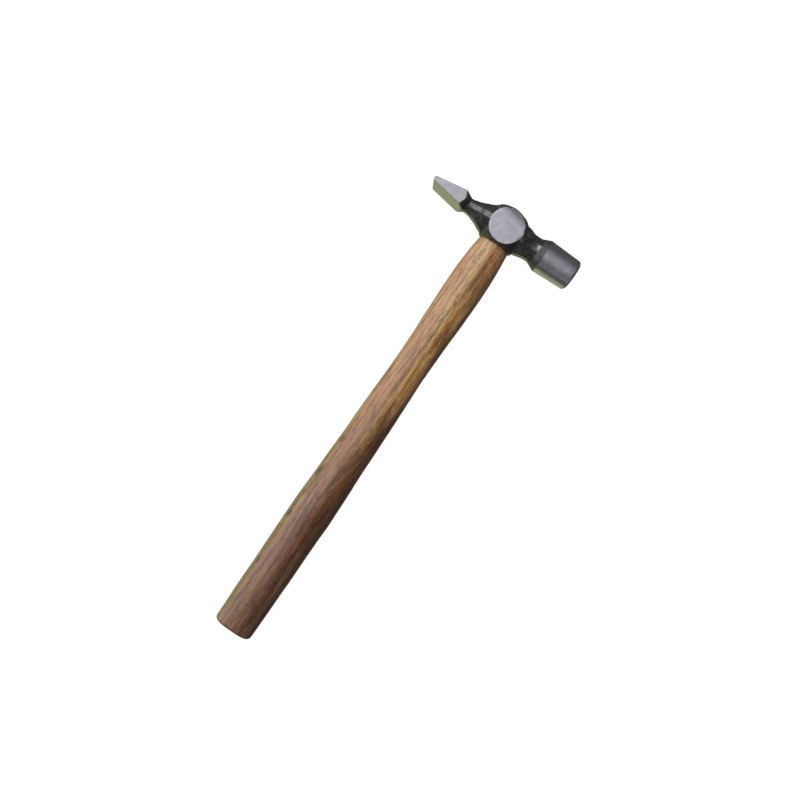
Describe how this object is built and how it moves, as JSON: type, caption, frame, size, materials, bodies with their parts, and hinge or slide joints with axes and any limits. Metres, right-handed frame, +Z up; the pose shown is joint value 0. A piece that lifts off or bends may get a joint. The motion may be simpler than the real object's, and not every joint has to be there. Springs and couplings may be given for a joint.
{
  "type": "cross peen hammer",
  "caption": "Light bench hammer with a forged steel head, a wedge peen across the handle, a round poll, and an oval hardwood handle.",
  "frame": {"origin": "centre of the lower cheek flat, on the surface that the hammer lies on", "axes": "+Z up out of the surface, +X along the head towards the striking face, +Y along the handle towards the head, so the butt points to -Y"},
  "size_m": [0.102, 0.303, 0.0222],
  "materials": {
    "forged_steel": "ground and lacquered, dark forged skin on the necks",
    "handle_wood": "semi-gloss lacquer",
    "wedge_wood": "end grain, oiled",
    "wedge_steel": "mill scale"
  },
  "bodies": {
    "root": {"hammer_head": "forged_steel", "handle": "handle_wood", "timber_wedge": "wedge_wood", "steel_wedge": "wedge_steel"}
  },
  "joints": []
}
